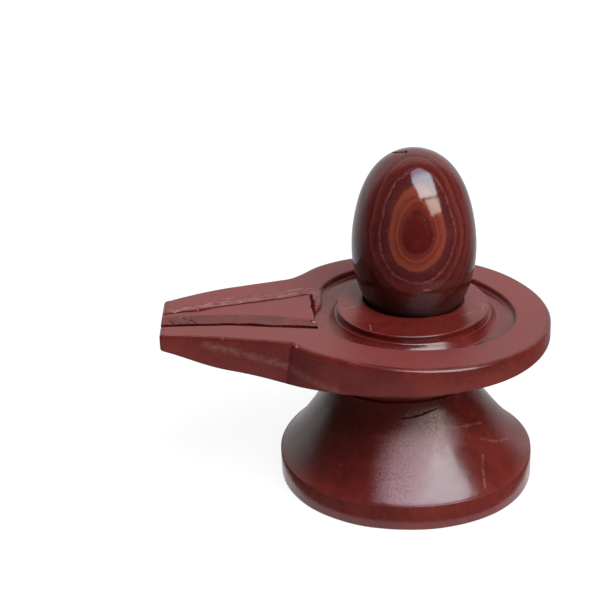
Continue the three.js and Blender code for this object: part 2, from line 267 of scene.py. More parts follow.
OUTLINE = plate_outline()
DIRECTION = np.arctan2(OUTLINE[:, 1] - PLATE_CENTRE[1], OUTLINE[:, 0] - PLATE_CENTRE[0])


def ring_at(plan, height):
    """A ring of points over a plan, at a height that is a number or a function of x and y."""
    z = height(*plan.T) if callable(height) else np.full(len(plan), float(height))
    return np.column_stack([plan, z])


def round_ring(ring, widening, height):
    """A ring cut by hand, made wider by so much all round."""
    waves = sum(c * np.cos(n * DIRECTION) + s * np.sin(n * DIRECTION) for n, c, s in ring["waves"])
    radius = ring["radius"] + waves + widening
    plan = np.column_stack([radius * np.cos(DIRECTION), radius * np.sin(DIRECTION)])
    return ring_at(plan + ring["centre"], height)


def drain_ring(widening, height):
    """A ring of the drain's wall, which runs inward in front of the slab."""
    away = (np.degrees(DIRECTION) % 360 - DRAIN_LIP["angle"]) / DRAIN_LIP["spread"]
    return round_ring(DRAIN, widening - DRAIN_LIP["reach"] * np.exp(-(away**2)), height)


def turned_ring(radius, height, centre=(0.0, 0.0), waves=((1, 0.0, 0.0),)):
    """A ring as a lathe would turn it, or with waves of its own."""
    return round_ring({"centre": centre, "radius": radius, "waves": waves}, 0, height)


def foot_ring(radius, height, centre=(0.0, 0.0)):
    """A ring of the foot and cone, with the foot's waves and the side that is ground flat."""
    reach = (radius / FOOT_RADIUS) ** 2
    waves = [(n, c * reach, s * reach) for n, c, s in FOOT_WAVES]
    away = (np.degrees(DIRECTION) - FOOT_FLAT["angle"]) / FOOT_FLAT["spread"]
    flat = FOOT_FLAT["depth"] * np.exp(-(away**2)) * reach
    outward = np.column_stack([np.cos(DIRECTION), np.sin(DIRECTION), 0 * DIRECTION])
    return turned_ring(radius, height, centre, waves) - flat[:, None] * outward


def stand_off(inner, outer, reach, share, height):
    """A ring that keeps a reach from the inner ring, towards the outer one."""
    gap = np.linalg.norm(outer - inner, axis=1)
    plan = (inner + (outer - inner) * np.minimum(reach / gap, share)[:, None])[:, :2]
    return ring_at(plan, height)


def under_height(x, y):
    """The underside of the plate: a cone that is drawn out under the spout."""
    along, across = x - PLATE_CENTRE[0], y - PLATE_CENTRE[1]
    stretch = np.where(along < 0, SPOUT_STRETCH + SPOUT_STRETCH_FALL * along, 1)
    reach = np.hypot(along * stretch, across)
    sag = SPOUT_SAG["depth"] * np.exp(-(((x - SPOUT_SAG["x"]) / SPOUT_SAG["spread"]) ** 2))
    return PLATE_UNDER_HEIGHT + PLATE_UNDER_SLOPE * (reach - PLATE_RADIUS) - sag


def girth(level):
    """The egg's radius at a level from -1, its foot, to 1, its top."""
    first, second, third = EGG_SHAPE
    swell = 1 + first * level + second * level**2 + third * level**3
    return EGG_RADIUS * np.sqrt(np.maximum(0, 1 - level**2)) * swell


# -------- meshes

SHARP_ANGLE = 32


def tube_faces(sides, rings, first=0):
    """The faces between rings of points that follow one another."""
    return [(low + k, low + (k + 1) % sides, low + sides + (k + 1) % sides, low + sides + k)
            for low in range(first, first + (rings - 1) * sides, sides) for k in range(sides)]


class Skin:
    """A closed skin over a stack of rings, from the sole up. Each ring has a finish."""

    def __init__(self):
        self.rings = []
        self.finishes = []

    def add(self, ring, finish):
        self.rings.append(ring)
        self.finishes.append(finish)

    def stretch(self, ring, finish, steps):
        """Straight on to a ring, in steps."""
        start, before = self.rings[-1], self.finishes[-1]
        for share in np.linspace(0, 1, steps + 1)[1:]:
            self.add(start + (ring - start) * share, before + (finish - before) * share)

    def edge(self, corner, after, rounding, finish, steps=1, bends=4, flat=None):
        """Straight on to near a corner, and round it. The way there can have its own finish, flat."""
        start = self.rings[-1]

        def towards(end):
            length = np.linalg.norm(end - corner, axis=1)[:, None]
            return corner + (end - corner) * np.minimum(rounding / np.maximum(length, 1e-6), 0.45)

        arc_start, arc_end = towards(start), towards(after)
        self.stretch(arc_start, finish if flat is None else flat, steps)
        for share in np.linspace(0, 1, bends + 1)[1:]:
            first = arc_start + (corner - arc_start) * share
            second = corner + (arc_end - corner) * share
            self.add(first + (second - first) * share, finish)

    def piece(self, name):
        """The mesh object, with its finish as a point attribute."""
        sides, levels = len(self.rings[0]), len(self.rings)
        points = np.vstack(self.rings + [self.rings[0].mean(0), self.rings[-1].mean(0)])
        top, foot, head = (levels - 1) * sides, levels * sides, levels * sides + 1
        faces = tube_faces(sides, levels)
        faces += [((k + 1) % sides, k, foot) for k in range(sides)]
        faces += [(top + k, top + (k + 1) % sides, head) for k in range(sides)]
        ends = [self.finishes[0], self.finishes[-1]]
        finish = np.repeat(self.finishes + ends, [sides] * levels + [1, 1])
        return new_piece(name, points, faces, finish)


def new_object(name, data):
    made = bpy.data.objects.new(name, data)
    bpy.context.scene.collection.objects.link(made)
    return made


def new_piece(name, points, faces, finish):
    """A mesh object from points in millimetres, with a finish for each point."""
    mesh = bpy.data.meshes.new(name)
    mesh.from_pydata((np.asarray(points) * MM).tolist(), [], faces)
    values = mesh.attributes.new("finish", "FLOAT", "POINT").data
    values.foreach_set("value", np.asarray(finish, np.float32))
    return new_object(name, mesh)


def cut_away(stone, *lumps):
    """Takes lumps out of a stone in one cut, and drops them."""
    taken = bpy.data.collections.new("lumps")
    for lump in lumps:
        closed = bmesh.new()
        closed.from_mesh(lump.data)
        bmesh.ops.recalc_face_normals(closed, faces=closed.faces)
        closed.to_mesh(lump.data)
        closed.free()
        taken.objects.link(lump)
        bpy.context.scene.collection.objects.unlink(lump)
    cut = stone.modifiers.new("cut", "BOOLEAN")
    cut.operation = "DIFFERENCE"
    cut.solver = "MANIFOLD"
    cut.operand_type = "COLLECTION"
    cut.collection = taken
    bpy.context.view_layer.update()
    whole = stone.data
    result = stone.evaluated_get(bpy.context.evaluated_depsgraph_get())
    stone.data = bpy.data.meshes.new_from_object(result)
    stone.modifiers.clear()
    for lump in lumps:
        bpy.data.objects.remove(lump)
    bpy.data.collections.remove(taken)
    bpy.data.meshes.remove(whole)


def flake(size, place, turn, seed, finish):
    """The lump that is lost where a flake broke out: flat facets, with a rippled surface."""
    facets, facet_reach, roughness = 9, 0.82, 0.06
    rough = bmesh.new()
    bmesh.ops.create_icosphere(rough, subdivisions=3, radius=1)
    drawn = random.Random(seed)
    planes = [Vector([drawn.gauss(0, 1) for _ in range(3)]).normalized() for _ in range(facets)]
    for point in rough.verts:
        nearest = max(point.co.dot(plane) for plane in planes)
        ripple = noise.noise(point.co * 3 + Vector((seed, 0, 0)))
        point.co *= min(1.0, facet_reach / max(nearest, 0.5)) + roughness * ripple
    about_x, about_y, about_z = (Matrix.Rotation(angle, 3, axis) for angle, axis in zip(turn, "XYZ"))
    shaped = about_z @ about_y @ about_x @ Matrix.Diagonal(size)
    points = [shaped @ point.co + Vector(place) for point in rough.verts]
    faces = [[v.index for v in face.verts] for face in rough.faces]
    rough.free()
    return new_piece("flake", points, faces, [finish] * len(points))


def groove(path, outward, width, depth, seed, finish):
    """The lump that is taken out for a crack or notch along a path on the surface."""
    steps, lift = 36, 0.4
    line = spline(path, steps)
    outward = np.array(outward) / np.linalg.norm(outward)
    heading = np.gradient(line, axis=0)
    aside = np.cross(heading, outward)
    aside /= np.linalg.norm(aside, axis=1)[:, None]
    points = []
    for k, (point, side) in enumerate(zip(line, aside)):
        share = math.sin(math.pi * (0.03 + 0.94 * k / steps)) ** 0.6
        share *= 1 + 0.35 * roughness_at(k * 0.4, seed, 0.5)
        wander = 0.4 * width * roughness_at(k * 0.7, seed, 7.5)
        half = 0.5 * width * share * (1 + lift / depth)
        middle = point + side * wander
        points += [middle + side * half + outward * lift, middle - outward * depth * share,
                   middle - side * half + outward * lift]
    ends = [(0, 1, 2), (3 * steps, 3 * steps + 1, 3 * steps + 2)]
    return new_piece("groove", points, ends + tube_faces(3, steps + 1), [finish] * len(points))


def finish_mesh(piece):
    """Keeps the piece in the frame's box, smooths its shading and keeps its real edges sharp."""
    mesh = piece.data
    co = np.empty(len(mesh.vertices) * 3, np.float32)
    mesh.vertices.foreach_get("co", co)
    inside = np.clip(co.reshape(-1, 3), CAD_LOW * MM, CAD_HIGH * MM)
    mesh.vertices.foreach_set("co", inside.ravel())
    mesh.shade_smooth()
    mesh.set_sharp_from_angle(angle=math.radians(SHARP_ANGLE))
    mesh.update()


def make_uneven(piece, height, size, seed):
    """Moves the surface in and out a little, as hand polishing leaves it."""
    mesh = piece.data
    offset = Vector((seed, 2 * seed, 3 * seed))
    for vertex, normal in zip(mesh.vertices, mesh.vertex_normals):
        where = vertex.co / (size * MM) + offset
        vertex.co += normal.vector * (height * MM * noise.noise(where))


# -------- the yoni base


def base_skin():
    """The base as one block with its drain, collar and socket, before the channel is cut."""
    skin = Skin()
    sole = foot_ring(FOOT_RADIUS, 0)
    band_top = foot_ring(FOOT_RADIUS, FOOT_BAND_HEIGHT)
    cone = []
    for radius, height in bezier(CONE, 44, keeps_end=True):
        rise = (height - FOOT_BAND_HEIGHT) / (WAIST_HEIGHT - FOOT_BAND_HEIGHT)
        cone.append(foot_ring(radius, height, rise * np.array(WAIST_OFFSET)))
    skin.add(foot_ring(FOOT_RADIUS - SOLE_INSET, 0), HONED)
    skin.edge(sole, band_top, ROUNDED["foot"], BAND, bends=6)
    skin.edge(band_top, cone[2], ROUNDED["foot"], BAND, steps=6, bends=6)
    # the upper cone is painted darker towards the waist: painted shade under the plate
    for share, ring in zip(np.linspace(0, 1, len(cone)), cone[2:]):
        shaded_share = max(0.0, share - CONE_SHADE_FROM) / (1 - CONE_SHADE_FROM)
        skin.add(ring, GLOSSY + (CONE_TOP - GLOSSY) * shaded_share)

    groove_height = WAIST_HEIGHT + CREASE["width"] / 2
    groove = turned_ring(WAIST_RADIUS - CREASE["depth"], groove_height, WAIST_OFFSET)
    lip = turned_ring(WAIST_RADIUS + CREASE["lip"], WAIST_HEIGHT + CREASE["width"], WAIST_OFFSET)
    # the crease at the waist and its lip: painted shade under the plate
    skin.stretch(groove, SHADE_BLACK, 3)
    skin.stretch(lip, SHADE_SOFT, 3)

    under_edge = ring_at(plate_outline(FOLD_SLANT), under_height)
    # the underside is painted darker towards the waist: painted shade under the plate
    for share in np.linspace(0, 0.97, 17)[1:]:
        ring = lip + (under_edge - lip) * share
        ring[:, 2] = lip[:, 2] + (under_edge[:, 2] - lip[:, 2]) * share**PLATE_UNDER_BULGE
        skin.add(ring, SHADE_SOFT + (SIDE - SHADE_SOFT) * share**0.4)

    top_edge = ring_at(OUTLINE, below_top(0))
    drain_edge = drain_ring(DRAIN_LEAN[0], below_top(0))
    drain_foot = drain_ring(DRAIN_LEAN[1], below_top(DRAIN_DEPTH))
    wall_foot = COLLAR_WALL_HEIGHT - COLLAR_HEIGHT
    undercut = below_top(wall_foot + COLLAR_UNDERCUT["down"])
    collar_foot = round_ring(COLLAR, -COLLAR_UNDERCUT["in"], undercut)
    floor_end = stand_off(collar_foot, drain_foot, *FLOOR_END, below_top(DRAIN_DEPTH))
    skirt_depth = wall_foot + (DRAIN_DEPTH - wall_foot) * SKIRT_FALL
    skirt = stand_off(collar_foot, drain_foot, *SKIRT, below_top(skirt_depth))
    ledge = stand_off(collar_foot, drain_foot, *LEDGE, undercut)
    collar_edge = round_ring(COLLAR, 0, below_top(-COLLAR_HEIGHT))
    socket_edge = round_ring(SOCKET, SOCKET_EDGE["widening"], below_top(-COLLAR_HEIGHT))
    throat_depth = SOCKET_EDGE["depth"] - COLLAR_HEIGHT
    throat = round_ring(SOCKET, -SOCKET_EDGE["widening"], below_top(throat_depth))

    skin.edge(under_edge, top_edge, ROUNDED["under"], SIDE, bends=6)
    skin.edge(top_edge, drain_edge, ROUNDED["rim"], GLOSSY, steps=5, bends=10, flat=BAND)
    skin.stretch(stand_off(top_edge, drain_edge, *RIM_END, below_top(0)), HONED, 3)
    skin.edge(drain_edge, drain_foot, ROUNDED["drain"], HONED, steps=14, bends=6)
    # the drain's wall and its foot are painted darker: painted shade in the drain
    skin.stretch(drain_edge + (drain_foot - drain_edge) * 0.4, SHADE_STRONG, 1)
    skin.edge(drain_foot, floor_end, ROUNDED["drain foot"], SHADE_DARK, steps=2, bends=5)
    skin.stretch(drain_foot + (floor_end - drain_foot) * 0.55, BAND, 2)
    skin.edge(floor_end, skirt, ROUNDED["floor"], GLOSSY, steps=4, bends=8)
    skin.edge(skirt, ledge, ROUNDED["skirt"], GLOSSY, steps=3, bends=8)
    # the collar's foot and wall are painted dark: painted shade in the crease under the collar
    skin.edge(ledge, collar_foot, ROUNDED["ledge"], SHADE_SOFT, steps=3)
    skin.edge(collar_foot, collar_edge, ROUNDED["collar foot"], SHADE_BLACK, steps=2)
    skin.stretch(collar_foot + (collar_edge - collar_foot) * 0.5, SHADE_SOFT, 3)
    skin.edge(collar_edge, socket_edge, ROUNDED["collar"], GLOSSY, steps=4, bends=10)
    skin.edge(socket_edge, throat, ROUNDED["socket"], GLOSSY, steps=10, bends=6)
    skin.add(throat, SIDE)
    for level in EGG_SEAT:
        height = EGG_CENTRE[2] + level * EGG_HALF_HEIGHT - SEAT_GAP
        skin.add(turned_ring(girth(level) + SEAT_GAP, height, EGG_CENTRE[:2]), HONED)
    return skin


def near_kerf_section(x, line_y, crease_y):
    """Down the near kerf, under the strip's lip, and up the rough strip to the crease."""
    near_y = line_y + 0.12 * roughness_at(x / 3.0, 3, 0.5)
    widening = 1 + 0.14 * roughness_at(x / 5.0, 6, 0.5) + 0.05 * roughness_at(x / 0.8, 7, 0.5)
    kerf_end = near_y + NEAR_KERF["width"] * widening
    lip, depth = NEAR_KERF["lip"], NEAR_KERF["depth"]
    deep, high = NEAR_KERF["undercut"]
    # the kerf and the underside of the strip's lip are painted near black: painted shade in the kerf
    section = [
        (near_y, -CUTTER_LIFT, HONED), (near_y, 0.12, HONED), (near_y + 0.05, 0.45, SHADE_BLACK),
        (near_y + 0.1, depth, SHADE_BLACK), (kerf_end + deep, depth, SHADE_BLACK),
        (kerf_end + high, lip + 0.5, SHADE_BLACK), (kerf_end, lip, SHADE_SOFT),
    ]
    swell = math.exp(-((x - CHISEL_RIPPLE["x"]) / CHISEL_RIPPLE["spread"]) ** 2)
    chisel = CHISEL_RIPPLE["depth"] * max(0.0, math.sin(CHISEL_RIPPLE["pace"] * x)) * swell
    # the strip is painted darker by the kerf, less so towards the crease: painted shade, as it tilts to
    # the front
    for share in np.linspace(0, 1, 15)[1:]:
        y = kerf_end + (crease_y - kerf_end) * share
        coarse = roughness_at(x / 0.9, y / 0.8, 3)
        rough = coarse + 0.6 * roughness_at(x / 2.6, y / 0.5, 5)
        ripple = (STRIP_RIPPLE * rough + chisel) * math.sin(math.pi * share) ** 0.5
        rising = lip + (SLAB_DEPTH - lip) * share - ripple
        section.append((y, rising, STRIP + (HONED - STRIP) * share**9))
    return section


def broken_kerf_section(x, crease_y, line_y):
    """Along the slab from the crease, down the broken kerf, and up its chipped far edge."""
    kerf = BROKEN_KERF
    jag = kerf["jag"] * (0.8 * roughness_at(x / 2.4, 1, 0.5) + 0.5 * roughness_at(x / 0.9, 2, 0.5))
    gape = kerf["gape"] * math.exp(-((x - kerf["gape_x"]) / kerf["gape_spread"]) ** 2)
    from_end = min(1.0, max(0.0, (kerf["end_x"] - x) / kerf["end_length"]))
    width = kerf["width"] * (kerf["narrowest"] + (1 - kerf["narrowest"]) * from_end) + gape
    kerf_start = line_y - width + 0.3 * jag
    section = []
    for share in np.linspace(0, 1, 9)[1:]:
        y = crease_y + (kerf_start - crease_y) * share
        hollow = SLAB_HOLLOW * roughness_at(x / 5, y / 2.5, 8) * (1 - share**4)
        section.append((y, SLAB_DEPTH - hollow, HONED))
    edge_y = line_y + jag
    # the broken kerf is painted near black: painted shade in the kerf
    return section + [
        (kerf_start + 0.1, SLAB_DEPTH + 0.2, SHADE_BLACK),
        (line_y - 0.5 * width, kerf["depth"], SHADE_BLACK),
        (line_y - 0.25 * width + 0.5 * jag, kerf["depth"] - 0.1, SHADE_BLACK),
        (edge_y - 0.05, kerf["edge"] + 0.15, SHADE_BLACK),
        (edge_y, kerf["edge"], WORN),
        (edge_y + 0.1, -1.0, WORN),
        (edge_y, -CUTTER_LIFT, WORN),
    ]


def channel_lump():
    """The lump that is cut away for the channel, in sections across it from the tip to the drain."""
    stations = 260
    points, finish = [], []
    for x, near_y, crease_y, far_y in spline(CHANNEL, stations):
        section = near_kerf_section(x, near_y, crease_y) + broken_kerf_section(x, crease_y, far_y)
        points += [on_plate(x, y, depth) for y, depth, _ in section]
        finish += [dullness for _, _, dullness in section]
    sides = len(points) // (stations + 1)
    ends = [list(range(sides))[::-1], list(range(stations * sides, (stations + 1) * sides))]
    return new_piece("channel", points, ends + tube_faces(sides, stations + 1), finish)


def kerf_chips():
    """The shallow flakes that broke off beside the far kerf."""
    drawn = random.Random(21)
    chips = []
    for x, _, _, y in spline(CHANNEL, 80)[9:-3]:
        band = float(np.interp(x, *CHIP_BAND))
        share = drawn.random() ** 1.6
        size = (drawn.uniform(3.0, 7.5), drawn.uniform(0.25, 0.62) * (1 + 0.08 * band), 0.5)
        place = (x + drawn.uniform(-1.2, 1.2), y + 0.3 + share * band,
                 top_height(x) + drawn.uniform(0.3, 0.38) + 0.03 * share)
        turn = (drawn.uniform(-0.04, 0.04), 0.05 + drawn.uniform(-0.02, 0.02),
                drawn.uniform(0.28, 0.4))
        chips.append(flake(size, place, turn, drawn.randrange(1000), drawn.uniform(1.25, 1.7)))
    return chips


def slab_end_breaks():
    """The ragged end of the slab at the drain, and the split corner at the spout's tip."""
    breaks = [
        ((2.6, 3.2, 0.8), (-28.2, 11.2, -0.15), (0.1, 0.1, 0.5), WORN),
        # the small flake at the channel's end is painted dark: painted shade in its hollow
        ((1.4, 1.0, 0.9), (-29.6, -11.0, 0.6), (0.2, 0.2, 0.3), SHADE_DEEP),
        ((3.2, 0.7, 0.8), (-74.0, -5.0, 0.1), (0.2, 0.0, 0.35), WORN),
    ]
    end = [on_plate(x, y, 0.6) for x, y in SLAB_END]
    # the groove along the slab's end is painted dark: painted shade below the step of the slab's end
    return [groove(end, (0.0, 0.0, 1.0), 1.8, 1.6, 61, SHADE_DARK)] + [
        flake(size, on_plate(*place), turn, 30 + k, finish)
        for k, (size, place, turn, finish) in enumerate(breaks)
    ]


def edge_chips():
    """Two chips on the spout's near edge, and small ones all along the plate's upper edge."""
    drawn = random.Random(8)
    chips = [
        flake((1.0, 0.7, 0.7), on_plate(-35.4, -29.6, 0.1), (0.6, 0.3, 0.0), 7, 1.5),
        flake((0.9, 0.45, 0.8), on_plate(-57.8, -24.1, 0.2), (0.3, 0.5, 0.2), 11, 1.45),
    ]
    for k in range(22):
        place = on_plate(*OUTLINE[int(drawn.random() * len(OUTLINE))], -0.05)
        size = drawn.uniform(0.22, 0.5)
        spin = [drawn.random() for _ in range(3)]
        chips.append(flake((size * 1.6, size, size), place, spin, 50 + k, 1.6))
    return chips


def cracks():
    """The fissure below the waist, and the chisel marks near the spout's tip."""
    # the fissure is painted dark: painted shade in the crack
    lumps = [groove(FISSURE, (0.0, -0.94, 0.34), 0.8, 1.1, 1, SHADE_BLACK)]
    for k, (x, y) in enumerate(CHISEL_MARKS):
        z = top_height(x) - 0.9
        path = [(x - 0.9, y + 1.4, z + 0.2), (x, y, z), (x + 1.2, y - 1.5, z - 0.3)]
        lumps.append(groove(path, (0.0, -0.2, 1.0), 0.55, 0.35, 20 + k, BROKEN))
    return lumps


def yoni_base():
    """The carved base, cut and chipped."""
    stone = base_skin().piece("yoni_stone")
    make_uneven(stone, 0.12, 13, 4)
    make_uneven(stone, 0.03, 4.5, 5)
    cut_away(stone, channel_lump())
    cut_away(stone, *kerf_chips(), *slab_end_breaks(), *edge_chips(), *cracks())
    finish_mesh(stone)
    return stone


# -------- the lingam


def lingam():
    """The egg, with the notch and the flake at its tip."""
    sides, levels = 240, 150
    points = [(0, 0, -EGG_HALF_HEIGHT), (0, 0, EGG_HALF_HEIGHT)]
    for k in range(1, levels):
        level = -math.cos(math.pi * k / levels)
        radius = float(girth(level))
        for side in range(sides):
            turn = 2 * math.pi * side / sides
            points.append((radius * math.cos(turn), radius * math.sin(turn), level * EGG_HALF_HEIGHT))
    last_ring = 2 + (levels - 2) * sides
    faces = tube_faces(sides, levels - 1, first=2)
    faces += [(0, 2 + (k + 1) % sides, 2 + k) for k in range(sides)]
    faces += [(1, last_ring + k, last_ring + (k + 1) % sides) for k in range(sides)]
    points = np.array(points) + EGG_CENTRE
    stone = new_piece("lingam_stone", points, faces, [POLISHED] * len(points))
    top = EGG_CENTRE[2] + EGG_HALF_HEIGHT
    make_uneven(stone, 0.05, 9, 7)
    make_uneven(stone, 0.008, 2.2, 9)
    notch = [(-3.8, 4.8, top - 2.0), (-2.6, 2.7, top - 1.1), (-1.5, 1.5, top - 0.7),
             (-0.3, 0.9, top - 0.4), (0.7, 1.2, top - 0.2)]
    notch_end = [(0.8, 1.4, top - 0.2), (0.8, 0.3, top - 0.2), (0.6, -0.8, top - 0.3)]
    # the notch at the tip is painted dark: painted shade in the notch
    cut_away(
        stone,
        groove(notch, (-0.2, -0.1, 0.95), 1.05, 0.8, 9, SHADE_BLACK),
        groove(notch_end, (0.0, -0.1, 1.0), 0.8, 0.5, 10, SHADE_BLACK),
        flake((2.1, 1.2, 0.5), (-0.8, -0.5, top - 0.28), (0.0, -0.12, 0.2), 12, HONED),
    )
    finish_mesh(stone)
    return stone


# -------- materials


class Shader:
    """A material under construction: adds nodes, wires sockets and sets values."""

    def __init__(self, name):
        self.material = bpy.data.materials.new(name)
        self.material.use_nodes = True
        self.tree = self.material.node_tree
        self.surface = self.tree.nodes["Principled BSDF"]
        self.visible = self.tree.nodes["Material Output"].inputs["Surface"]
        place = self.add("TexCoord").outputs["Object"]
        self.place = self.vector("MULTIPLY", place, (1 / MM,) * 3)
        axes = self.add("SeparateXYZ", self.place)
        self.x, self.y, self.z = axes.outputs
        self.line_place = self.place

    def feed(self, socket, value):
        """Wires an output to a socket, or sets the socket's own value."""
        if isinstance(value, bpy.types.NodeSocket):
            self.tree.links.new(value, socket)
        else:
            socket.default_value = value

    def give(self, **values):
        """Feeds the surface's sockets, whose names are written with _ for a blank."""
        for name, value in values.items():
            self.feed(self.surface.inputs[name.replace("_", " ")], value)

    def add(self, kind, *values, **settings):
        """Adds a node: values go to its inputs in order, settings are its properties."""
        made = self.tree.nodes.new("ShaderNode" + kind)
        for key, value in settings.items():
            setattr(made, key, value)
        for socket, value in zip(made.inputs, values):
            self.feed(socket, value)
        return made

    def math(self, operation, *values, clamp=False):
        return self.add("Math", *values, operation=operation, use_clamp=clamp).outputs[0]

    def times(self, first, second):
        return self.math("MULTIPLY", first, second)

    def vector(self, operation, *values):
        made = self.add("VectorMath", *values, operation=operation)
        is_number = operation in ("LENGTH", "DISTANCE", "DOT_PRODUCT")
        return made.outputs["Value" if is_number else "Vector"]

    def noise(self, scale, detail=4.0, roughness=0.55, distortion=0.0, place=None, dimensions="3D"):
        """Noise from 0 to 1. scale is in cells per millimetre."""
        made = self.add("TexNoise", noise_dimensions=dimensions)
        key = "W" if dimensions == "1D" else "Vector"
        self.feed(made.inputs[key], self.place if place is None else place)
        names = ("Scale", "Detail", "Roughness", "Distortion")
        for name, value in zip(names, (scale, detail, roughness, distortion)):
            made.inputs[name].default_value = value
        return made.outputs[0]

    def let_lines_wander(self, reach, scale):
        """Makes lines and veins leave their straight course by up to a reach in millimetres."""
        made = self.add("TexNoise", self.place)
        made.inputs["Scale"].default_value = scale
        made.inputs["Detail"].default_value = 3
        shift = self.vector("MULTIPLY_ADD", made.outputs["Color"], (4 * reach,) * 3, (-2 * reach,) * 3)
        self.line_place = self.vector("ADD", self.place, shift)

    def dots(self, scale, size):
        """A mask of small round dots, some of them missing. scale is in cells per millimetre."""
        made = self.add("TexVoronoi", self.place)
        made.inputs["Scale"].default_value = scale
        near = self.spread(made.outputs["Distance"], size * 0.5, size, 1.0, 0.0)
        return self.times(near, self.spread(self.noise(0.11, 2), 0.45, 0.6))

    def spread(self, value, low, high, to_low=0.0, to_high=1.0):
        """The value's range from low to high, drawn out smoothly to another range."""
        made = self.add("MapRange", value, low, high, to_low, to_high, interpolation_type="SMOOTHSTEP")
        return made.outputs[0]

    def ramp(self, value, stops, interpolation="LINEAR"):
        """Colours along a value from 0 to 1. A stop is (value, colour)."""
        made = self.add("ValToRGB", value)
        made.color_ramp.interpolation = interpolation
        elements = made.color_ramp.elements
        for position, colour in stops[len(elements):]:
            elements.new(position)
        for element, (position, colour) in zip(elements, stops):
            element.position = position
            element.color = (*colour, 1)
        return made.outputs[0]

    def mix(self, share, first, second):
        """The first colour with a share of the second one."""
        made = self.add("Mix", data_type="RGBA")
        self.feed(made.inputs[0], share)
        for socket, value in ((made.inputs[6], first), (made.inputs[7], second)):
            self.feed(socket, (*value, 1) if isinstance(value, tuple) else value)
        return made.outputs[2]

    def paint(self, colour, *layers):
        """Lays colours over a first one, in order. A layer is (share, colour)."""
        for share, tone in layers:
            colour = self.mix(share, colour, tone)
        return colour

    def attribute(self, name):
        return self.add("Attribute", attribute_name=name).outputs["Fac"]

    def line(self, start, end, width, softness):
        """A mask that is 1 on the line from start to end and falls to 0 at its width."""
        start, end = Vector(start), Vector(end)
        along = end - start
        from_start = self.vector("SUBTRACT", self.line_place, start)
        share = self.vector("DOT_PRODUCT", from_start, along / along.length_squared)
        share = self.math("ADD", share, 0.0, clamp=True)
        reach = self.add("VectorMath", along, operation="SCALE")
        self.feed(reach.inputs["Scale"], share)
        nearest = self.vector("ADD", reach.outputs[0], start)
        distance = self.vector("DISTANCE", self.line_place, nearest)
        return self.spread(distance, width * (1 - softness), width, 1.0, 0.0)

    def vein(self, path, width, softness=0.8):
        """A mask along a path of straight stretches."""
        return self.strongest([self.line(*ends, width, softness) for ends in zip(path, path[1:])])

    def veins(self, paths, width, softness=0.8):
        return self.strongest([self.vein(path, width, softness) for path in paths])

    def strongest(self, masks):
        """The largest of some masks at each place."""
        total = masks[0]
        for mask in masks[1:]:
            total = self.math("MAXIMUM", total, mask)
        return total

    def bump(self, height, strength, distance):
        """A bump from a height between 0 and 1, which stands for a distance in millimetres."""
        made = self.add("Bump", strength, distance * MM)
        self.feed(made.inputs["Height"], height)
        return made.outputs[0]


